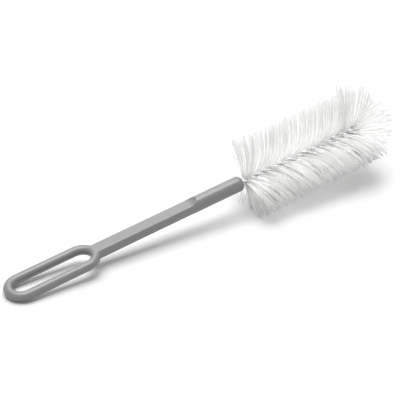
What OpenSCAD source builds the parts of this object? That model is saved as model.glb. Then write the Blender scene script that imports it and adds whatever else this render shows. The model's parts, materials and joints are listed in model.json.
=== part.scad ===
// Bottle brush: a moulded handle with a hanging loop, a twisted wire core and a swept bristle head.
// Every piece is modelled along the handle's own axis, with +X running to the tip of the brush.
// The whole brush is then tipped up until it lies on its loop and on its lowest bristles, on z = 0.

/* [Handle] */
// Length from the end of the loop to the end of the round nose
handle_l = 201; // [180:0.5:240]
// Diameter of the round grip
grip_d = 12; // [11:0.25:14]
// Thickness of the loop's bar, which is also the grip's thickness across its two flats
bar_d = 7.2; // [6.5:0.1:8]
// Length of the loop over its bar
loop_l = 75; // [60:0.5:90]
// Width of the loop over its bar
loop_w = 28.2; // [25:0.2:34]
// Radius of the hollow corners where the loop runs into the grip
neck_r = 6; // [4:0.5:9]
// Length of the plain round stretch at the nose, beyond the flats
nose_l = 48.5; // [40:0.5:70]
// Radius on which each flat runs out into the round
run_out_r = 12; // [6:0.5:20]
// Radius of the softened long edges of the flats
edge_r = 0.6; // [0.3:0.05:1]
// Radius of the rounded nose
nose_r = 4.2; // [2:0.1:5]

/* [Wire] */
// Diameter of the wire, before it is folded and twisted
wire_d = 1.4; // [1.2:0.05:1.8]
// Length in which the two legs make one full turn about each other
wire_pitch = 14.5; // [12:0.25:20]
// Length of the twisted wire that is held inside the handle
wire_grip_l = 24; // [15:0.5:40]
// Bare wire between the nose and the first bristles
wire_bare_l = 2.5; // [0.5:0.25:6]
// Gap round the twisted wire in its bore
bore_clearance = 0.1; // [0.05:0.01:0.3]

/* [Bristles] */
// Diameter of the bristle head
head_d = 58; // [44:1:70]
// Length of the wire that carries bristles
head_l = 107; // [80:1:130]
// How far the tips are swept forward of their roots
sweep_l = 20; // [8:0.5:24]
// The same at the row next to the handle, where nothing pushes the bristles over
first_sweep_l = 1; // [0:0.5:10]
// Thickness of the flat mat of roots that the wire pinches
mat_t = 0.5; // [0.3:0.05:0.7]
// Rows of tufts along the wire
tuft_rows = 200; // [80:1:240]
// Diameter of a tuft at its root
tuft_root_d = 0.4; // [0.3:0.05:0.6]
// Diameter of a tuft at its tip, where its bristles have spread
tuft_tip_d = 0.9; // [0.5:0.05:1.2]
// Length of the bristles that fan out over the tip
fan_l = 29.5; // [20:0.5:40]
// Reach of the long bristles on the upper side, near the tip
plume_r = 36; // [29:0.5:42]
// Width of the parting along the near side, between the tips that lean away to both sides
parting_w = 110; // [0:5:110]

/* [Hidden] */

// Handle
bar_r = bar_d / 2;
grip_r = grip_d / 2;
loop_r = loop_w / 2 - bar_r;              // centre line of the loop's round ends
loop_x0 = bar_r + loop_r;                 // centre of the loop's outer end
loop_x1 = loop_l - bar_r - loop_r;        // centre of the loop's end at the grip
flat_end_x = handle_l - nose_l;
neck_y = grip_r + neck_r;
neck_x = loop_x1 + sqrt(pow(loop_r + bar_r + neck_r, 2) - neck_y * neck_y);
cut_over = 5;                             // how far a cutting shape stands clear of what it cuts
curve_fn = 96;

// Wire
wire_r = wire_d / 2;
pinch_clearance = 0.05;                   // between the mat of roots and each leg
leg_r = mat_t / 2 + pinch_clearance + wire_r;
wire_out_r = leg_r + wire_r;
bore_r = wire_out_r + bore_clearance;
bore_end_gap = 1;                         // room left at the bottom of the bore
wire_x0 = handle_l - wire_grip_l;
head_x0 = handle_l + wire_bare_l;
head_x1 = head_x0 + head_l;
wire_x1 = head_x1 + mat_t + pinch_clearance;
turn_rate = 360 / wire_pitch;             // degrees of twist in each millimetre
wire_sides = 6;
wire_rings_per_turn = 10;

// Bristles
head_r = head_d / 2;
mat_r = wire_out_r;
row_step = head_l / tuft_rows;
first_row_a = 60;                       // direction in which the first row stands
plume_a = 60;                             // direction of the long bristles: up, and away to the left
parting_a = 140;                          // direction of the parting: up, and to the near side
rear_share = 0.10;                        // share of the head over which the sweep grows to its full length
fan_share = 0.10;                         // share of the head that turns over into the fan
fan_lean = 82;                            // how far the last tufts lean towards the tip, in degrees
plume_from = 0.72;                        // the stretch of the head that carries the long bristles
plume_to = 0.98;
plume_fade = 0.05;                        // share of the head over which their extra length comes and goes
tuft_scatter_a = 2;                       // how far a tuft strays from its place in the twist
tuft_segments = 3;

// ---- small helpers ----

function clamp01(t) = min(1, max(0, t));
function ease(t) = let (c = clamp01(t)) c * c * (3 - 2 * c);
function mix(a, b, t) = a + (b - a) * t;
// A repeatable scatter between -1 and 1, so that no two neighbours are alike
function scatter(i, seed) = 2 * (((i + 1) * 0.6180339887 * seed) % 1) - 1;
// The point at radius r from the axis, in direction a, at x along it
function around(x, r, a) = [x, r * cos(a), r * sin(a)];
function unit(v) = v / norm(v);

// Two triangles that close the four-sided hole a, b, c, d
function quad(a, b, c, d) = [[a, d, c], [a, c, b]];

// A closed tube through a list of rings with the same number of points each
module skin(rings) {
    n = len(rings[0]);
    last = len(rings) - 1;
    polyhedron(
        points = [for (ring = rings) each ring],
        faces = concat(
            [[for (j = [0 : n - 1]) j]],
            [for (i = [0 : last - 1], j = [0 : n - 1])
                let (k = (j + 1) % n)
                each quad(i * n + j, i * n + k, (i + 1) * n + k, (i + 1) * n + j)],
            [[for (j = [n - 1 : -1 : 0]) last * n + j]]),
        convexity = 4);
}

// ---- handle ----

module loop_end(x, start) {
    translate([x, 0, 0])
        rotate([0, 0, start])
            rotate_extrude(angle = 180, $fn = curve_fn)
                translate([loop_r, 0])
                    circle(r = bar_r, $fn = curve_fn);
}

module loop_bar(side) {
    translate([loop_x0, side * loop_r, 0])
        rotate([0, 90, 0])
            cylinder(h = loop_x1 - loop_x0, r = bar_r, $fn = curve_fn);
}

module loop() {
    loop_end(loop_x0, 90);
    loop_end(loop_x1, -90);
    loop_bar(1);
    loop_bar(-1);
}

// The space beside the neck: a round hollow whose wall bulges like the bar does
module neck_hollow(side) {
    translate([neck_x, side * neck_y, 0])
        rotate_extrude($fn = curve_fn)
            difference() {
                translate([0, -bar_r])
                    square([neck_r + bar_r, bar_d]);
                translate([neck_r + bar_r, 0])
                    circle(r = bar_r, $fn = curve_fn);
            }
}

// The web between the loop and the grip, level with both
module neck() {
    difference() {
        linear_extrude(bar_d, center = true)
            polygon([[loop_x1, 0], [neck_x, -neck_y], [neck_x, neck_y]]);
        neck_hollow(1);
        neck_hollow(-1);
    }
}

// The round bar with its rounded nose, before the flats are cut
module round_grip() {
    l = handle_l - loop_x1;
    translate([loop_x1, 0, 0])
        rotate([0, 90, 0])
            rotate_extrude($fn = curve_fn)
                intersection() {
                    square([grip_r, l]);
                    union() {
                        square([grip_r, l - nose_r]);
                        square([grip_r - nose_r, l]);
                        translate([grip_r - nose_r, l - nose_r])
                            circle(r = nose_r, $fn = curve_fn);
                    }
                }
}

// What is taken off one side of the grip: a flat with soft edges, which runs out in a curve
module flat_cut() {
    corner_z = bar_r - edge_r;
    corner_y = sqrt(pow(grip_r - edge_r, 2) - corner_z * corner_z);
    cut_z = grip_r + cut_over;
    translate([loop_x1, 0, 0])
        rotate([90, 0, 90])
            linear_extrude(flat_end_x - loop_x1)
                difference() {
                    polygon([
                        [-corner_y, corner_z], [-2 * corner_y, 2 * corner_z], [-2 * corner_y, cut_z],
                        [2 * corner_y, cut_z], [2 * corner_y, 2 * corner_z], [corner_y, corner_z]]);
                    translate([-corner_y, 0])
                        square([2 * corner_y, bar_r]);
                    translate([-corner_y, corner_z])
                        circle(r = edge_r, $fn = curve_fn);
                    translate([corner_y, corner_z])
                        circle(r = edge_r, $fn = curve_fn);
                }
    translate([flat_end_x, 0, bar_r + run_out_r])
        rotate([90, 0, 0])
            cylinder(h = grip_d + cut_over, r = run_out_r, center = true, $fn = curve_fn);
}

module grip() {
    difference() {
        round_grip();
        flat_cut();
        rotate([180, 0, 0])
            flat_cut();
    }
}

module wire_bore() {
    depth = wire_grip_l + bore_end_gap;
    translate([handle_l - depth, 0, 0])
        rotate([0, 90, 0])
            cylinder(h = depth + cut_over, r = bore_r, $fn = curve_fn);
}

module handle() {
    color("#8f8f91")
        lay_down()
            difference() {
                union() {
                    loop();
                    difference() {
                        union() {
                            neck();
                            grip();
                        }
                        translate([loop_x1, 0, 0])
                            cylinder(h = grip_d + cut_over, r = loop_r, center = true, $fn = curve_fn);
                    }
                }
                wire_bore();
            }
}

// ---- twisted wire ----

// Direction of the first leg at x; the roots are pinched at right angles to it
function leg_a(x) = mat_a(x) - 90;

// One ring of the wire about a point of its centre line, from its outward and sideways directions
function wire_ring(p, out, side) =
    [for (j = [0 : wire_sides - 1])
        let (a = 360 * j / wire_sides)
        p + wire_r * (cos(a) * out + sin(a) * side)];

// The ring of a leg at x, where dir is 1 on the way to the tip and -1 on the way back
function leg_ring(x, turn, dir) =
    let (
        a = leg_a(x) + turn,
        out = around(0, 1, a),
        along = unit([1, 0, 0] + turn_rate * PI / 180 * leg_r * around(0, 1, a + 90)))
    wire_ring(around(x, leg_r, a), out, dir * cross(along, out));

// The ring of the fold at the tip, where the wire turns back on itself
function fold_ring(t) =
    let (
        a = leg_a(wire_x1),
        up = around(0, 1, a),
        out = cos(t) * up + [sin(t), 0, 0])
    wire_ring([wire_x1, 0, 0] + leg_r * out, out, cross([1, 0, 0], up));

module twisted_wire() {
    steps = ceil((wire_x1 - wire_x0) / wire_pitch * wire_rings_per_turn);
    xs = [for (i = [0 : steps]) mix(wire_x0, wire_x1, i / steps)];
    color("#8a8c8e")
        lay_down()
            skin(concat(
                [for (x = xs) leg_ring(x, 0, 1)],
                [for (t = [30 : 30 : 150]) fold_ring(t)],
                [for (i = [steps : -1 : 0]) leg_ring(xs[i], 180, -1)]));
}

// ---- bristles ----

// How much of the extra length of the long bristles a tuft at share s and direction a gets
function plume(s, a) =
    ease((s - plume_from) / plume_fade) * ease((plume_to + plume_fade - s) / plume_fade)
    * ease(1.5 * cos(a - plume_a));

// How far row i has turned over into the fan, from 0 to 1
function fan(i) = ease(((i + 0.5) / tuft_rows - 1 + fan_share) / fan_share);

// Where a tuft ends: how far it is swept along, and how far it stands out from the axis
function tuft_tip(i, a) =
    let (
        s = (i + 0.5) / tuft_rows,
        rear = ease(s / rear_share),
        reach = mix(head_r, plume_r, plume(s, a)) * (1 + 0.02 * scatter(i, 7.1)),
        sweep = mix(first_sweep_l, sweep_l, rear) * (1 + 0.1 * scatter(i, 3.3)),
        lean = mix(atan(sweep / reach), fan_lean, fan(i)),
        l = mix(norm([sweep, reach]), fan_l, fan(i)))
    [l * sin(lean), mat_r * fan(i) + l * cos(lean)];

// How far round the axis a tuft that starts in direction a leans away from the parting
function lean_away(a) =
    let (off = (a - parting_a + 540) % 360 - 180)
    abs(off) < 90 ? sign(off) * parting_w / 2 * (1 - abs(off) / 90) : 0;

// A tuft's centre line: it leaves the wire leaning forward and bends outward, less so in the fan
function tuft_point(x, a, turn, tip, straight, t) =
    let (
        bend = [mix(0.72, 0.3, straight) * tip.x, mat_r + mix(0.32, 0.8, straight) * (tip.y - mat_r)],
        u = 1 - t,
        f = 2 * u * t * bend.x + t * t * tip.x,
        r = u * u * mat_r + 2 * u * t * bend.y + t * t * tip.y)
    around(x + f, r, a + turn * t);

// The rings of the tuft that grows from row i, on the side of the mat that turn gives
function tuft_rings(i, turn) =
    let (
        x = row_x(i + 0.4),
        a = mat_a(x) + turn + tuft_scatter_a * scatter(i, 5.7 + turn / 180),
        away = lean_away(a),
        tip = tuft_tip(i, a + away))
    [for (k = [1 : tuft_segments])
        let (
            t = k / tuft_segments,
            p = tuft_point(x, a, away, tip, fan(i), t),
            along = unit(p - tuft_point(x, a, away, tip, fan(i), t - 0.01)),
            back = unit(cross(around(0, 1, a + away * t + 90), along)),
            across = cross(along, back),
            r = mix(tuft_root_d, tuft_tip_d, t) / 2)
        [for (b = [-60, 60, 180]) p + r * (cos(b) * back + sin(b) * across)]];

function row_x(i) = head_x0 + i * row_step;
function mat_a(x) = first_row_a + turn_rate * (x - head_x0);

// One ring of the mat: its two faces, each with an edge, the middle and the other edge
function mat_ring(x) =
    let (
        out = around(0, 1, mat_a(x)),
        up = around(0, 1, mat_a(x) + 90))
    [for (c = [[1, 1], [0, 1], [-1, 1], [-1, -1], [0, -1], [1, -1]])
        [x, 0, 0] + c.x * mat_r * out + c.y * mat_t / 2 * up];

// The mat of roots that the two legs of the wire pinch, with a tuft in each row of both its edges.
// A tuft's three corners start from three of the four corners of its stretch of the edge.
module bristle_skin(mat, tufts) {
    m = len(mat[0]);
    n = len(mat) - 1;
    first = (n + 1) * m;
    polyhedron(
        points = concat(
            [for (ring = mat) each ring],
            [for (tuft = tufts, ring = tuft) each ring]),
        faces = concat(
            [[for (j = [0 : m - 1]) j]],
            [[for (j = [m - 1 : -1 : 0]) n * m + j]],
            [for (i = [0 : n - 1], j = [0, 1, 3, 4])
                each quad(i * m + j, i * m + j + 1, (i + 1) * m + j + 1, (i + 1) * m + j)],
            [for (i = [0 : n - 1], side = [0, 1])
                let (
                    a = side == 0 ? m - 1 : 2,
                    b = side == 0 ? 0 : 3,
                    tip = first + (2 * i + side) * 3 * tuft_segments)
                each tuft_faces(i * m + a, i * m + b, (i + 1) * m + b, (i + 1) * m + a, tip)]),
        convexity = 6);
}

// The flat and the tuft that close the hole a, b, c, d, where the tuft's own points start at tip
function tuft_faces(a, b, c, d, tip) =
    let (rings = [[a, b, d], for (k = [0 : tuft_segments - 1]) [for (j = [0 : 2]) tip + 3 * k + j]])
    concat(
        [[b, d, c]],
        [for (k = [0 : tuft_segments - 1], j = [0 : 2])
            each quad(rings[k][j], rings[k][(j + 1) % 3], rings[k + 1][(j + 1) % 3], rings[k + 1][j])],
        [[rings[tuft_segments][0], rings[tuft_segments][2], rings[tuft_segments][1]]]);

tufts = [for (i = [0 : tuft_rows - 1], turn = [0, 180]) tuft_rings(i, turn)];

module bristles() {
    color("#f4f4f2")
        lay_down()
            bristle_skin([for (i = [0 : tuft_rows]) mat_ring(row_x(i))], tufts);
}

// ---- the brush as it lies ----

// The tilt at which point p and the end of the loop touch the floor together
function rest_tilt(p) = atan2(-p.z, p.x - bar_r) - asin(bar_r / norm([p.x - bar_r, p.z]));

tuft_points = [for (tuft = tufts, ring = tuft) each ring];
tilt = max([for (p = tuft_points) if (p.z < -head_r / 2) rest_tilt(p)]);
lift = bar_r * (1 - sin(tilt));
loop_end_x = bar_r * cos(tilt) - bar_r;
tip_end_x = max([for (p = tuft_points) p.x * cos(tilt) - p.z * sin(tilt)]);
mid_x = (loop_end_x + tip_end_x) / 2;
sides = [for (p = tuft_points) p.y];
mid_y = (min(sides) + max(sides)) / 2;

module lay_down() {
    translate([-mid_x, -mid_y, lift])
        rotate([0, -tilt, 0])
            children();
}

handle();
twisted_wire();
bristles();
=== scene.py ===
"""Bottle brush: the looks of a moulded handle, a twisted wire core and a swept nylon bristle head.

Lengths are in metres. Pieces are laid out along the brush's own axis, in an axis frame whose origin is the
centre of the hanging loop's hole, with +X towards the bristle tip and +Z out of the loop's face. The matrix
brush_frame() then tips them up with the rest of the brush. A direction about the axis is an angle from +Y
towards +Z.
"""

import json
import math

import bpy
import numpy as np
from mathutils import Matrix, Vector

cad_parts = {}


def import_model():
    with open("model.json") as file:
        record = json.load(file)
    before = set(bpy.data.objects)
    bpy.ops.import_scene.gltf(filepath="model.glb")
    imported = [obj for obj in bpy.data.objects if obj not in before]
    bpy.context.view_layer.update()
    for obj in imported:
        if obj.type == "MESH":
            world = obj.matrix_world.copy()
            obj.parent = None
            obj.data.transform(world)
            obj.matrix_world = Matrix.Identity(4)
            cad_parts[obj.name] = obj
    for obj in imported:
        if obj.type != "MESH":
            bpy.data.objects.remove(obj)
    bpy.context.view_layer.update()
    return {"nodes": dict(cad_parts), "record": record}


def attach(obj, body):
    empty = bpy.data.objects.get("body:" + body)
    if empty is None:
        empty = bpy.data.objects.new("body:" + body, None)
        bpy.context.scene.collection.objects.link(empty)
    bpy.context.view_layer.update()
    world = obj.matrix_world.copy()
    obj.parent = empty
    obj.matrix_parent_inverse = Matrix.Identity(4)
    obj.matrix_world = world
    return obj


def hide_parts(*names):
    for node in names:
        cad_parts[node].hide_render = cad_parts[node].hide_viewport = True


MM = 0.001

# ---- handle, measured from the centre of the loop's hole ----

HOLE_TO_LOOP_END = 37.5 * MM
HANDLE_L = 201.0 * MM
NOSE_X = HANDLE_L - HOLE_TO_LOOP_END

# ---- wire ----

WIRE_R = 0.7 * MM
WIRE_PITCH = 14.5 * MM
PINCH = 0.3 * MM  # half of the space between the two legs
LEG_R = PINCH + WIRE_R
WIRE_OUT_R = LEG_R + WIRE_R
WIRE_GRIP_L = 24.0 * MM
WIRE_SIDES = 14
WIRE_RINGS_PER_TURN = 28
WIRE_FOLD_RINGS = 14

# ---- bristle head ----

HEAD_X0 = NOSE_X + 2.5 * MM
HEAD_L = 107.0 * MM
HEAD_X1 = HEAD_X0 + HEAD_L
HEAD_R = 29.0 * MM
SWEEP_L = 20.0 * MM  # how far the tips stand forward of their roots
BODY_LEAN = math.atan2(SWEEP_L, HEAD_R)
BODY_L = math.hypot(SWEEP_L, HEAD_R)
FIRST_ROOT_A = math.radians(60)

# Rows of tufts, evenly spread over the tips
TUFT_ROWS = 54
TUFTS_AROUND = 12
ROW_TURN = 0.382  # how far each row is turned on from the last, in tufts
TUFT_STRAY = 0.35  # the most that one strays from its place, in tufts or rows
TUFT_LEAN = 0.04
TUFT_LENGTH = 0.04
END_DENSITY = 0.4  # how much closer the rows stand towards the tip
LOWER_END_GAP = 6.0 * MM  # the lower side ends this much sooner

# The first filaments burst back from the wire's first stretch to the perpendicular
BURST_L = 4.0 * MM
BURST_R = 31.0 * MM
BURST_SWEEP = 0.1  # the first one's share of the sweep
BURST_STRAIGHT = 0.9
BURST_FADE = 0.7  # how soon they get bent like the rest

# The long bristles on one side of the last turns
PLUME_A = math.radians(60)
PLUME_FROM = 0.81
PLUME_FADE = 0.08
PLUME_EDGE = 1.5  # how sharply it ends round the axis
PLUME_LEAN = math.radians(13)
PLUME_LAST_LEAN = math.radians(39)
PLUME_L = 38.5 * MM
PLUME_STRAIGHT = 0.7

# The fan over the end of the wire
FAN_TUFTS = 72
FAN_L = 29.5 * MM
FAN_LEAN_FROM = math.radians(12)
FAN_SPREAD = 0.75
FAN_ROOT_L = 6.0 * MM  # the stretch of wire that the fan starts from
FAN_ROOT_BACK = 11.0 * MM  # how far behind that a strand may be rooted
FAN_ROOT_STEP = 0.754877  # spreads this evenly
FAN_STRAY = 0.03  # in lean and in length
FAN_TURN_STRAY = 0.1

# The parting along the near side, and the locks in front of it
PARTING_A = math.radians(140)
PARTING_HALF = math.radians(57)
PARTING_END_HALF = math.radians(28)
PARTING_CLOSES = (0.62, 0.95)  # the stretch of the head over which it closes up to that
PARTING_DROP = math.radians(15)  # how far below its middle the filaments divide
LOCK_SHARE = 0.45  # how much of its stray a tuft shares with its lock
LOCK_BACK = 0.386  # a lock leans back by this share of how far it reaches out
LOCK_FADE = 0.5  # how soon after the first filaments it does so in full

# How a filament is laid: pinched by the wire, round it to a shoulder, and over a knee to its tip
ROOT_DRAW = 0.15  # how far a root is drawn to the place where the wire holds roots in its direction
ROOT_DRAW_AFTER = 0.5  # not in the first half of the burst
ROOT_SPREAD = math.radians(75)
ROOT_DEPTH = 0.6  # where lengths are measured from, as a share of the wire's radius
KNEE_TURN = (0.2, 0.8)  # how far round to the tip's direction the knee stands
KNEE_ALONG = (0.72, 0.5)  # how far along and how far out it stands, on a bent and on a straight filament
KNEE_OUT = (0.32, 0.5)

# Single filaments, and how they stray from their tuft
TUFT_FILAMENTS = 4
FILAMENT_R = 0.20 * MM
FILAMENT_RINGS = 9
FILAMENT_SIDES = 4
FILAMENT_STEP = 0.12 * MM
FILAMENT_TURN = 0.02
FILAMENT_LEAN = 0.007
FILAMENT_LENGTH = 0.015
LOOSE = 4.0  # how much looser the tufts outside the locks are
FAN_LOOSE = 2.0

# How white a filament is, from 0 for grey to 1 for white: a tone that differs at random by tuft and by
# filament, less painted shade on the fan over the end and towards every tip
TUFT_TONE = (0.5, 1)
FILAMENT_TONE = (0.6, 1)
FILAMENT_TONE_SHARE = 0.3
# Painted shade: greys the fan over the end, and every filament towards its tip
FAN_PAINTED_SHADE = 0.4
TIP_PAINTED_SHADE = 0.2
TIP_PAINTED_SHADE_FROM = -0.4

# ---- materials: colours in linear light ----

WHITE = (1, 1, 1)
HANDLE_COLOUR = (0.193, 0.193, 0.195)
HANDLE_IOR = 1.58
HANDLE_GRAIN = {"scales": (2600, 60), "color_drift": 0.05, "roughness": 0.37, "roughness_drift": 0.25}
HANDLE_BUMP = 0.35
STEEL_COLOUR = (0.92, 0.92, 0.92)
STEEL_GRAIN = {"scales": (5200, 900), "color_drift": 0.08, "roughness": 0.45, "roughness_drift": 0.30}
STEEL_BUMP = 0.3
STEEL_STREAK = (0.03, 1, 1)  # the grain's coordinates are scaled by this, which draws it out along the wire
NYLON_TONE_AND_SHADE_GREY = (0.85, 0.85, 0.845)
NYLON_WHITE = (0.99, 0.99, 0.986)
NYLON_GRAIN = {"scales": (4000, 250), "color_drift": 0.03, "roughness": 0.38, "roughness_drift": 0.2}
NYLON_GLOW = 0.5  # its share of light from behind
GRAIN_DEPTH = 0.02 * MM

# The share of light that one skin of a filament lets through, by the lit point's height over the floor and
# by its distance from the wire: from, to, share at the first, share at the second
PASSED_BY_HEIGHT = (0.0, 32 * MM, 0.01, 0.88)
PASSED_BY_HEIGHT_POWER = 0.5
PASSED_BY_REACH = (15 * MM, 33 * MM, 1.0, 0.1)

# Sockets of the Mix node for colours, whose names aren't unique
MIX_FIRST, MIX_SECOND, MIX_RESULT = 6, 7, 2

# ---- stage ----

FLOOR_SIZE = 12.0
FLOOR_COLOUR = (0.85, 0.85, 0.85)
FLOOR_LIFT = 0.045  # how much lighter the floor looks in its shadows
FLOOR_FAR = (0.35, 0.8)  # from where to where it turns white
MAIN_FROM = (0.0, 0.11, 1.0)
MAIN_SIZE = (2.4, 1.9)
MAIN_POWER = 56.5
BACK_FROM = (0.42, 0.70, 0.55)
BACK_SIZE = (2.2, 0.9)
BACK_POWER = 13.2
SOFTBOX_DISTANCE = 2.4
WORLD_FILL = 0.155

# Camera: its heading, and where the loop's outer round end lies in its own frame
LOOP_ROUND_X = -23.4 * MM
CAMERA_LENS = 126.0
CAMERA_SENSOR = 36.0
CAMERA_CLIP = (0.01, 20)
CAMERA_ELEVATION = 0.565512188
CAMERA_HEADING = 0.580394986
CAMERA_OFFSET = Vector((-123.676301, -60.5519693, -978.681919)) * MM

rng = np.random.default_rng(7)


# ---- helpers ----


def smooth(t):
    """A soft step from 0 to 1 as t goes from 0 to 1."""
    t = np.clip(t, 0, 1)
    return t * t * (3 - 2 * t)


def mix(a, b, t):
    return a + (b - a) * t


def unit(v):
    return v / np.linalg.norm(v, axis=-1, keepdims=True)


def around(x, r, a):
    """Points at distance r from the axis, in direction a, at x along it."""
    x, r, a = np.broadcast_arrays(x, r, a)
    return np.stack([x, r * np.cos(a), r * np.sin(a)], axis=-1)


def brush_frame(record):
    """The matrix from the axis frame to the row frame, from the hanging loop's mount."""
    loop = next(m for m in record["mounts"] if m["name"] == "hanging_loop")
    tilt = math.asin(-loop["axis"][0])
    return Matrix.Translation(loop["pos_m"]) @ Matrix.Rotation(-tilt, 4, "Y")


def link(thing):
    bpy.context.scene.collection.objects.link(thing)
    return thing


def add_mesh(name, points, faces, smooth_shading=True):
    mesh = bpy.data.meshes.new(name)
    mesh.from_pydata(points, [], faces)
    mesh.update()
    if smooth_shading:
        mesh.shade_smooth()
    return link(bpy.data.objects.new(name, mesh))


def tube_mesh(paths, radius, sides):
    """Points, faces and lay of one closed tube along each path; paths is (tubes, rings, 3).

    A point's lay is its distance along the tube and its two offsets from the centre line.
    """
    tubes, rings, _ = paths.shape
    along = unit(np.gradient(paths, axis=1))
    helper = np.cross(along, [1.0, 0.0, 0.0])
    flat = np.linalg.norm(helper, axis=-1, keepdims=True) < 1e-3
    side = unit(np.where(flat, np.cross(along, [0.0, 1.0, 0.0]), helper))
    up = np.cross(along, side)
    turn = np.arange(sides) * 2 * math.pi / sides
    ring = side[:, :, None] * np.cos(turn)[:, None] + up[:, :, None] * np.sin(turn)[:, None]
    points = paths[:, :, None] + ring * radius
    run = np.cumsum(np.linalg.norm(np.diff(paths, axis=1, prepend=paths[:, :1]), axis=-1), axis=1)
    offsets = radius * np.cos(turn), radius * np.sin(turn)
    lay = np.stack(np.broadcast_arrays(run[:, :, None], *offsets), axis=-1)

    base = (np.arange(tubes) * rings * sides)[:, None, None]
    i = (np.arange(rings - 1) * sides)[None, :, None]
    j = np.arange(sides)[None, None, :]
    k = (j + 1) % sides
    quads = np.stack([base + i + j, base + i + k, base + i + sides + k, base + i + sides + j], axis=-1)
    faces = quads.reshape(-1, 4).tolist()
    for b in base.ravel().tolist():
        last = b + (rings - 1) * sides
        faces.append([b + s for s in reversed(range(sides))])
        faces.append([last + s for s in range(sides)])
    return points.reshape(-1, 3), faces, lay.reshape(-1, 3)


def keep_on_points(piece, name, kind, values):
    """Store a number or a vector for each point of a piece, for its material to read."""
    field = {"FLOAT": "value", "FLOAT_VECTOR": "vector"}[kind]
    kept = piece.data.attributes.new(name, kind, "POINT")
    kept.data.foreach_set(field, np.asarray(values, dtype=np.float32).ravel())


# ---- shader nodes: each takes sockets or plain values ----


def feed(tree, socket, value):
    if isinstance(value, bpy.types.NodeSocket):
        tree.links.new(value, socket)
    elif socket.type == "RGBA":
        socket.default_value = (*value, 1)
    else:
        socket.default_value = value


def add_node(tree, kind, **values):
    """A shader node with some of its inputs fed; an underscore stands for a space in their names."""
    node = tree.nodes.new("ShaderNode" + kind)
    for name, value in values.items():
        feed(tree, node.inputs[name.replace("_", " ")], value)
    return node


def add_math(tree, operation, *values):
    node = tree.nodes.new("ShaderNodeMath")
    node.operation = operation
    for socket, value in zip(node.inputs, values):
        feed(tree, socket, value)
    return node.outputs["Value"]


def add_vector_math(tree, operation, *values):
    """The result is a vector, or a number for a length."""
    node = tree.nodes.new("ShaderNodeVectorMath")
    node.operation = operation
    for socket, value in zip(node.inputs, values):
        feed(tree, socket, value)
    return node.outputs["Value" if operation == "LENGTH" else "Vector"]


def add_map_range(tree, value, from_min, from_max, to_min, to_max):
    node = add_node(
        tree, "MapRange", Value=value, From_Min=from_min, From_Max=from_max, To_Min=to_min, To_Max=to_max
    )
    return node.outputs["Result"]


def add_attribute(tree, name):
    node = add_node(tree, "Attribute")
    node.attribute_name = name
    return node


def mix_shaders(tree, factor, first, second):
    node = add_node(tree, "MixShader", Fac=factor)
    tree.links.new(first.outputs[0], node.inputs[1])
    tree.links.new(second.outputs[0], node.inputs[2])
    return node


def new_material(name):
    material = bpy.data.materials.new(name)
    material.use_nodes = True
    nodes = material.node_tree.nodes
    return material, material.node_tree, nodes["Principled BSDF"], nodes["Material Output"]


def grain_group():
    """Node group: a fine grain over slow patches, put out as a colour, a roughness and a height.

    Scales are in cells per metre; a drift of 0.1 is a tenth up or down.
    """
    group = bpy.data.node_groups.new("grain", "ShaderNodeTree")
    for in_out, name, kind in (
        ("INPUT", "Vector", "NodeSocketVector"),
        ("INPUT", "Grain Scale", "NodeSocketFloat"),
        ("INPUT", "Patch Scale", "NodeSocketFloat"),
        ("INPUT", "Color", "NodeSocketColor"),
        ("INPUT", "Color Drift", "NodeSocketFloat"),
        ("INPUT", "Roughness", "NodeSocketFloat"),
        ("INPUT", "Roughness Drift", "NodeSocketFloat"),
        ("OUTPUT", "Color", "NodeSocketColor"),
        ("OUTPUT", "Roughness", "NodeSocketFloat"),
        ("OUTPUT", "Height", "NodeSocketFloat"),
    ):
        group.interface.new_socket(name=name, in_out=in_out, socket_type=kind)
    given = group.nodes.new("NodeGroupInput").outputs
    made = group.nodes.new("NodeGroupOutput").inputs
    grain = add_node(group, "TexNoise", Vector=given["Vector"], Scale=given["Grain Scale"], Detail=2.0)
    patches = add_node(group, "TexNoise", Vector=given["Vector"], Scale=given["Patch Scale"], Detail=3.0)
    both = add_math(group, "ADD", grain.outputs["Fac"], patches.outputs["Fac"])
    either_way = add_math(group, "SUBTRACT", both, 1.0)
    shade = add_math(group, "MULTIPLY_ADD", either_way, given["Color Drift"], 1.0)
    gloss = add_math(group, "MULTIPLY_ADD", either_way, given["Roughness Drift"], 1.0)
    feed(group, made["Color"], add_vector_math(group, "MULTIPLY", given["Color"], shade))
    feed(group, made["Roughness"], add_math(group, "MULTIPLY", given["Roughness"], gloss))
    feed(group, made["Height"], grain.outputs["Fac"])
    return group


def add_grain(tree, vector, color, scales, color_drift, roughness, roughness_drift):
    """Place the grain group with one material's own values; scales are the grain's and the patches'."""
    grain = tree.nodes.new("ShaderNodeGroup")
    grain.node_tree = bpy.data.node_groups.get("grain") or grain_group()
    for name, value in (
        ("Vector", vector),
        ("Grain Scale", scales[0]),
        ("Patch Scale", scales[1]),
        ("Color", color),
        ("Color Drift", color_drift),
        ("Roughness", roughness),
        ("Roughness Drift", roughness_drift),
    ):
        feed(tree, grain.inputs[name], value)
    return grain.outputs


def add_bump(tree, height, strength, surface):
    bump = add_node(tree, "Bump", Distance=GRAIN_DEPTH, Strength=strength, Height=height)
    feed(tree, surface.inputs["Normal"], bump.outputs["Normal"])


# ---- materials ----


def satin_plastic():
    """Neutral grey moulded plastic with a fine spark-eroded grain and faint cloudy patches of gloss."""
    material, tree, surface, _ = new_material("satin_plastic")
    places = add_node(tree, "TexCoord").outputs["Object"]
    grain = add_grain(tree, places, HANDLE_COLOUR, **HANDLE_GRAIN)
    feed(tree, surface.inputs["Base Color"], grain["Color"])
    feed(tree, surface.inputs["Roughness"], grain["Roughness"])
    surface.inputs["Specular IOR Level"].default_value = 1.0
    surface.inputs["IOR"].default_value = HANDLE_IOR
    add_bump(tree, grain["Height"], HANDLE_BUMP, surface)
    return material


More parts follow.
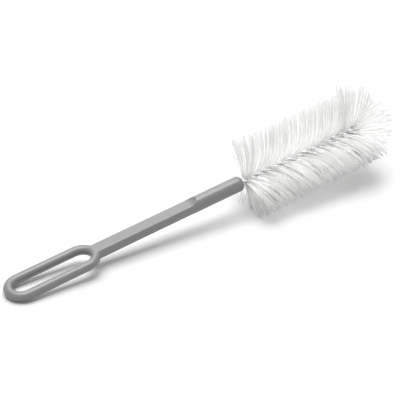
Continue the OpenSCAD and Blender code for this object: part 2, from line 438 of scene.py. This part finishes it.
def steel():
    """Drawn steel wire: fine streaks that run along the wire round all its turns."""
    material, tree, surface, _ = new_material("drawn_steel")
    drawn = add_vector_math(tree, "MULTIPLY", add_attribute(tree, "lay").outputs["Vector"], STEEL_STREAK)
    grain = add_grain(tree, drawn, STEEL_COLOUR, **STEEL_GRAIN)
    feed(tree, surface.inputs["Base Color"], grain["Color"])
    feed(tree, surface.inputs["Roughness"], grain["Roughness"])
    surface.inputs["Metallic"].default_value = 1.0
    add_bump(tree, grain["Height"], STEEL_BUMP, surface)
    return material


def nylon(place):
    """White nylon: it glows with the light behind it, and part of a lamp's light goes through it.

    No two filaments are equally white, and painted shade greys the tips and the fan over the end.
    """
    material, tree, surface, output = new_material("white_nylon")
    grain = add_grain(tree, add_attribute(tree, "lay").outputs["Vector"], WHITE, **NYLON_GRAIN)
    white = add_node(tree, "Mix")
    white.data_type = "RGBA"
    # The tone is random by tuft and by filament, with the painted shade of the tips and the fan taken off it
    feed(tree, white.inputs["Factor"], add_attribute(tree, "tone_and_shade").outputs["Fac"])
    feed(tree, white.inputs[MIX_FIRST], NYLON_TONE_AND_SHADE_GREY)
    feed(tree, white.inputs[MIX_SECOND], NYLON_WHITE)
    colour = add_vector_math(tree, "MULTIPLY", white.outputs[MIX_RESULT], grain["Color"])
    feed(tree, surface.inputs["Base Color"], colour)
    feed(tree, surface.inputs["Roughness"], grain["Roughness"])
    solid = mix_shaders(tree, NYLON_GLOW, surface, add_node(tree, "BsdfTranslucent", Color=colour))
    path = add_node(tree, "LightPath")
    clear = add_node(tree, "BsdfTransparent", Color=passed_light(tree, place, path.outputs["Ray Length"]))
    seen = mix_shaders(tree, path.outputs["Is Shadow Ray"], solid, clear)
    feed(tree, output.inputs["Surface"], seen.outputs[0])
    return material


def passed_light(tree, place, way):
    """The share of light that goes through one skin of a filament on its way to the lit point.

    Scattered light reaches what stands high and what lies near the wire, so more goes through to it.
    """
    geometry = add_node(tree, "NewGeometry").outputs
    lit = add_vector_math(tree, "MULTIPLY_ADD", geometry["Incoming"], way, geometry["Position"])
    height = add_node(tree, "SeparateXYZ", Vector=lit).outputs["Z"]
    high_up = add_math(tree, "POWER", add_map_range(tree, height, *PASSED_BY_HEIGHT), PASSED_BY_HEIGHT_POWER)
    from_loop = add_vector_math(tree, "SUBTRACT", lit, place.translation)
    across = add_vector_math(tree, "CROSS_PRODUCT", from_loop, place.to_3x3() @ Vector((1, 0, 0)))
    reach = add_vector_math(tree, "LENGTH", across)
    return add_math(tree, "MAXIMUM", high_up, add_map_range(tree, reach, *PASSED_BY_REACH))


# ---- pieces ----


def mat_angle(x):
    """Direction in which the pinched roots stand at x along the axis."""
    return FIRST_ROOT_A + 2 * math.pi * (x - HEAD_X0) / WIRE_PITCH


def root_angle(x, toward):
    """The one of the roots' two directions at x that is nearer to another direction."""
    a = mat_angle(x)
    return a + math.pi * (np.cos(a - toward) < 0)


def nearest_root(x, a):
    """The place nearest to x along the axis where the pinched roots stand in direction a."""
    half = WIRE_PITCH / 2
    step = ((a - mat_angle(x)) / math.pi + 0.5) % 1.0 - 0.5
    near = x + step * half
    near = np.where(near < HEAD_X0, near + half, near)
    return np.where(near > HEAD_X1, near - half, near)


def wire(place):
    """The folded and twisted wire as one smooth tube."""
    x0, x1 = NOSE_X - WIRE_GRIP_L, HEAD_X1 + 2 * PINCH
    xs = np.linspace(x0, x1, int((x1 - x0) / WIRE_PITCH * WIRE_RINGS_PER_TURN))
    leg_a = mat_angle(xs) - math.pi / 2
    there = around(xs, LEG_R, leg_a)
    back = around(xs, LEG_R, leg_a + math.pi)[::-1]
    t = np.linspace(0, math.pi, WIRE_FOLD_RINGS)[1:-1, None]
    up = around(0, 1, leg_a[-1])
    fold = np.array([x1, 0, 0]) + LEG_R * (np.cos(t) * up + np.sin(t) * np.array([1.0, 0, 0]))
    points, faces, lay = tube_mesh(np.concatenate([there, fold, back])[None], WIRE_R, WIRE_SIDES)
    piece = add_mesh("wire_core", points, faces)
    keep_on_points(piece, "lay", "FLOAT_VECTOR", lay)
    piece.data.transform(place)
    return piece


def fan_out(x, a, first):
    """Lean, length and straightness of the filaments that start at x along the axis, in direction a.

    first is 0 for the very first ones, and 1 or more where the burst has passed into the body.
    """
    s = (x - HEAD_X0) / HEAD_L
    lean = np.full(len(x), BODY_LEAN)
    length = np.full(len(x), BODY_L)

    # The first ones burst back to the perpendicular, so that no gap shows behind the nose
    lean = mix(lean, np.arctan2(mix(BURST_SWEEP, 1, first) * SWEEP_L, BURST_R), first < 1)
    length = np.where(first < 1, mix(BURST_R, HEAD_R, first) / np.cos(lean), length)
    straight = mix(BURST_STRAIGHT, 0, smooth(first * BURST_FADE))

    # On one side of the last turns the filaments stand up as a plume
    plume = smooth((s - PLUME_FROM) / PLUME_FADE) * smooth(PLUME_EDGE * np.cos(a - PLUME_A))
    along = smooth((s - PLUME_FROM) / (1 - PLUME_FROM))
    lean = mix(lean, mix(PLUME_LEAN, PLUME_LAST_LEAN, along), plume)
    length = mix(length, mix(PLUME_L, BODY_L, along), plume)
    return lean, length, mix(straight, PLUME_STRAIGHT, plume)


def parted(off, s):
    """The side of the parting that a tip falls to, and how far from the parting's middle it then stands.

    off is how far from the middle it would stand without a parting, and s is how far along the head it is,
    from 0 to 1.
    """
    start, end = PARTING_CLOSES
    half = mix(PARTING_HALF, PARTING_END_HALF, smooth((s - start) / (end - start)))
    side = np.where(off > PARTING_DROP, 1, -1)
    rest = side * math.pi / 2 - off
    leant = side * math.pi / 2 - rest * (math.pi / 2 - half) / (math.pi / 2 - side * PARTING_DROP)
    return side, np.where(np.abs(off) < math.pi / 2, leant, off)


def body_tufts():
    """Tufts whose tips stand evenly spread along and round the head: the body, the plume and the first burst.

    Those in front of the parting lie over one another in locks.
    """
    row, place = np.divmod(np.arange(TUFT_ROWS * TUFTS_AROUND), TUFTS_AROUND)
    count = len(row)
    a = 2 * math.pi * (place + row * ROW_TURN + rng.uniform(-TUFT_STRAY, TUFT_STRAY, count)) / TUFTS_AROUND
    off = np.angle(np.exp(1j * (a - PARTING_A)))
    side, leant = parted(off, row / TUFT_ROWS)
    in_lock = np.abs(off) < math.pi / 2

    # What the tufts of one lock share, and what each strays from it by itself
    lock = rng.uniform(-1, 1, (4, TUFT_ROWS, 2))[:, row, (side > 0) * 1]
    alone = rng.uniform(-1, 1, (4, count))
    stray, lean_by, long_by, bend_by = np.where(in_lock, mix(alone, lock, LOCK_SHARE), alone)

    # The tips stand evenly along the head, and the first of them are rooted in its first stretch
    u = (row + 0.5 + TUFT_STRAY * stray) / TUFT_ROWS
    tip = (u + END_DENSITY * u * u * (1 - u)) * (HEAD_L + SWEEP_L - LOWER_END_GAP * (side > 0))
    first = tip / SWEEP_L
    body_x = BURST_L + (tip - SWEEP_L) * (1 - BURST_L / HEAD_L)
    x = HEAD_X0 + np.where(first < 1, first * BURST_L, body_x)
    lean, length, straight = fan_out(x, PARTING_A + leant, first)
    root_x = mix(x, nearest_root(x, a), ROOT_DRAW * smooth(first - ROOT_DRAW_AFTER))
    root_a = root_angle(root_x, a)
    return {
        "x": x,
        "root_x": root_x,
        "root_a": root_a,
        "shoulder_a": root_a + in_lock * ROOT_SPREAD * rng.uniform(-1, 1, count),
        "knee_a": PARTING_A + mix(off, leant, mix(*KNEE_TURN, bend_by / 2 + 0.5)),
        "tip_a": PARTING_A + leant,
        "lean": lean + TUFT_LEAN * lean_by,
        "length": length * (1 + TUFT_LENGTH * long_by),
        "straight": straight,
        "back": np.where(in_lock, LOCK_BACK * smooth(first * LOCK_FADE), 0),
        "loose": np.where(in_lock, 1.0, LOOSE),
        # no painted shade on these
        "painted_shade": np.zeros(count),
    }


def end_tufts():
    """Straight tufts that fan out evenly over the end of the wire, by the golden angle."""
    i = np.arange(FAN_TUFTS)
    across = ((i + 0.5) / FAN_TUFTS) ** FAN_SPREAD * math.cos(FAN_LEAN_FROM)
    lean = np.arccos(across) + rng.normal(0, FAN_STRAY, FAN_TUFTS)
    tip_a = i * math.pi * (3 - math.sqrt(5)) + rng.normal(0, FAN_TURN_STRAY, FAN_TUFTS)
    x = HEAD_X1 - FAN_ROOT_L * across
    root_x = x - FAN_ROOT_BACK * ((i * FAN_ROOT_STEP) % 1.0)
    root_a = root_angle(root_x, tip_a)
    return {
        "x": x,
        "root_x": root_x,
        "root_a": root_a,
        "shoulder_a": root_a,
        "knee_a": tip_a,
        "tip_a": tip_a,
        "lean": lean,
        "length": FAN_L * rng.normal(1, FAN_STRAY, FAN_TUFTS),
        "straight": np.ones(FAN_TUFTS),
        "back": np.zeros(FAN_TUFTS),
        "loose": np.full(FAN_TUFTS, FAN_LOOSE),
        # Painted shade: the fan's filaments are coloured greyer
        "painted_shade": np.full(FAN_TUFTS, FAN_PAINTED_SHADE),
    }


def filament_paths(place):
    """Centre lines of all the filaments in the row frame, and how much painted shade each one's tuft has.

    Tufts follow the wire's turns, and the filaments of a tuft lie nearly together.
    """
    body, end = body_tufts(), end_tufts()
    f = {name: np.repeat(np.concatenate([body[name], end[name]]), TUFT_FILAMENTS) for name in body}
    x, loose = f["x"], f["loose"]
    count = len(x)
    root_x = np.clip(f["root_x"] + rng.normal(0, FILAMENT_STEP, count) * loose, HEAD_X0, HEAD_X1)
    tip_a = f["tip_a"] + rng.normal(0, FILAMENT_TURN, count) * loose
    lean = f["lean"] + rng.normal(0, FILAMENT_LEAN, count) * loose
    length = f["length"] * rng.normal(1, FILAMENT_LENGTH, count)
    tip_x, tip_r = x + length * np.sin(lean), WIRE_OUT_R * ROOT_DEPTH + length * np.cos(lean)
    knee_x = mix(root_x, tip_x, mix(*KNEE_ALONG, f["straight"]))
    knee_r = mix(WIRE_OUT_R, tip_r, mix(*KNEE_OUT, f["straight"]))

    def leant_back(at_x, r, a):
        return around(at_x - f["back"] * r * np.cos(a - PARTING_A), r, a)[:, None]

    # From the pinched root in one step to the shoulder, and from there in a curve over the knee
    root = around(root_x, LEG_R / 2, f["root_a"])[:, None]
    shoulder = around(root_x, WIRE_OUT_R, f["shoulder_a"])[:, None]
    knee, tip = leant_back(knee_x, knee_r, f["knee_a"]), leant_back(tip_x, tip_r, tip_a)
    t = np.linspace(0, 1, FILAMENT_RINGS - 1)[None, :, None]
    bent = (1 - t) ** 2 * shoulder + 2 * (1 - t) * t * knee + t * t * tip
    paths = np.concatenate([root, bent], axis=1) @ np.array(place.to_3x3()).T + place.translation

    # The lowest ones are bent where they meet the floor, and lie along it
    paths[..., 2] = np.maximum(paths[..., 2], FILAMENT_R)
    return paths, f["painted_shade"]


def bristles(place):
    """Every filament by itself; painted shade greys the tips, and all of the fan over the end."""
    paths, painted_shade = filament_paths(place)
    count = len(paths)
    points, faces, lay = tube_mesh(paths, FILAMENT_R, FILAMENT_SIDES)
    piece = add_mesh("nylon_filaments", points, faces)
    keep_on_points(piece, "lay", "FLOAT_VECTOR", lay)
    tuft_tone = np.repeat(rng.uniform(*TUFT_TONE, count // TUFT_FILAMENTS), TUFT_FILAMENTS)
    tone_and_shade = mix(tuft_tone, rng.uniform(*FILAMENT_TONE, count), FILAMENT_TONE_SHARE) - painted_shade
    # Painted shade: greyer towards every tip
    tone_and_shade = tone_and_shade[:, None] - TIP_PAINTED_SHADE * smooth(np.linspace(TIP_PAINTED_SHADE_FROM, 1, FILAMENT_RINGS))
    keep_on_points(piece, "tone_and_shade", "FLOAT", np.repeat(np.maximum(tone_and_shade, 0), FILAMENT_SIDES))
    return piece


# ---- stage ----


def is_seen(tree):
    """1 for a ray from the camera, in a reflection or through glass, and 0 for light on its way."""
    path = add_node(tree, "LightPath").outputs
    either = add_math(tree, "MAXIMUM", path["Is Camera Ray"], path["Is Glossy Ray"])
    return add_math(tree, "MAXIMUM", either, path["Is Transmission Ray"])


def white_floor():
    """A matt floor that looks pure white wherever it is lit in full, and keeps the brush's shadow.

    Far from the brush, where the lamps fall off, it stays white as far as it goes.
    """
    half = FLOOR_SIZE / 2
    points = [(-half, -half, 0), (half, -half, 0), (half, half, 0), (-half, half, 0)]
    floor = add_mesh("floor", points, [(0, 1, 2, 3)], smooth_shading=False)
    material, tree, surface, output = new_material("white_floor")
    feed(tree, surface.inputs["Base Color"], FLOOR_COLOUR)
    surface.inputs["Roughness"].default_value = 1.0
    surface.inputs["Specular IOR Level"].default_value = 0.0
    lifted = add_node(tree, "AddShader")
    tree.links.new(add_node(tree, "BsdfDiffuse", Color=WHITE).outputs[0], lifted.inputs[0])
    lift = add_node(tree, "Emission", Color=WHITE, Strength=FLOOR_LIFT)
    tree.links.new(lift.outputs[0], lifted.inputs[1])
    distance = add_vector_math(tree, "LENGTH", add_node(tree, "NewGeometry").outputs["Position"])
    far = add_map_range(tree, distance, *FLOOR_FAR, 0.0, 1.0)
    seen = mix_shaders(tree, far, lifted, add_node(tree, "Emission", Color=WHITE, Strength=1.0))
    feed(tree, output.inputs["Surface"], mix_shaders(tree, is_seen(tree), surface, seen).outputs[0])
    floor.data.materials.append(material)


def add_softbox(name, direction, size, power):
    """A rectangular lamp that faces the brush from a direction."""
    lamp = bpy.data.lights.new(name, "AREA")
    lamp.shape = "RECTANGLE"
    lamp.size, lamp.size_y = size
    lamp.energy = power
    light = link(bpy.data.objects.new(name, lamp))
    away = Vector(direction).normalized()
    light.location = away * SOFTBOX_DISTANCE
    light.rotation_mode = "QUATERNION"
    light.rotation_quaternion = (-away).to_track_quat("-Z", "Y")


def lighting():
    """Two softboxes, and a world that is white to look at and lights the brush only a little."""
    add_softbox("main_softbox", MAIN_FROM, MAIN_SIZE, MAIN_POWER)
    add_softbox("back_softbox", BACK_FROM, BACK_SIZE, BACK_POWER)
    world = bpy.data.worlds.new("studio")
    bpy.context.scene.world = world
    world.use_nodes = True
    tree = world.node_tree
    background = tree.nodes["Background"].inputs
    feed(tree, background["Color"], WHITE)
    strength = add_math(tree, "MULTIPLY_ADD", is_seen(tree), 1.0 - WORLD_FILL, WORLD_FILL)
    feed(tree, background["Strength"], strength)


def add_camera(place):
    """The camera, set by its heading and by where the loop's outer round end lies in its own frame."""
    # The floor's axes as they lie in the camera's frame
    e, h = CAMERA_ELEVATION, CAMERA_HEADING
    floor_x = Vector((math.cos(h), math.sin(h) * math.sin(e), -math.sin(h) * math.cos(e)))
    floor_y = Vector((-math.sin(h), math.cos(h) * math.sin(e), -math.cos(h) * math.cos(e)))
    turn = Matrix((floor_x, floor_y, floor_x.cross(floor_y)))
    camera = link(bpy.data.objects.new("camera", bpy.data.cameras.new("camera")))
    camera.data.sensor_width = CAMERA_SENSOR
    camera.data.lens = CAMERA_LENS
    camera.data.clip_start, camera.data.clip_end = CAMERA_CLIP
    start = place @ Vector((LOOP_ROUND_X, 0, 0))
    camera.matrix_world = Matrix.Translation(start - turn @ CAMERA_OFFSET) @ turn.to_4x4()
    bpy.context.scene.camera = camera


def main():
    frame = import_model()
    place = brush_frame(frame["record"])
    add_camera(place)
    lighting()
    white_floor()

    handle = frame["nodes"]["handle"]
    handle.data.materials.clear()
    handle.data.materials.append(satin_plastic())

    core = wire(place)
    core.data.materials.append(steel())
    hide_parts("twisted_wire")
    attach(core, "root")

    head = bristles(place)
    head.data.materials.append(nylon(place))
    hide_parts("bristles")
    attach(head, "root")

    bpy.context.scene.view_settings.view_transform = "Standard"


main()
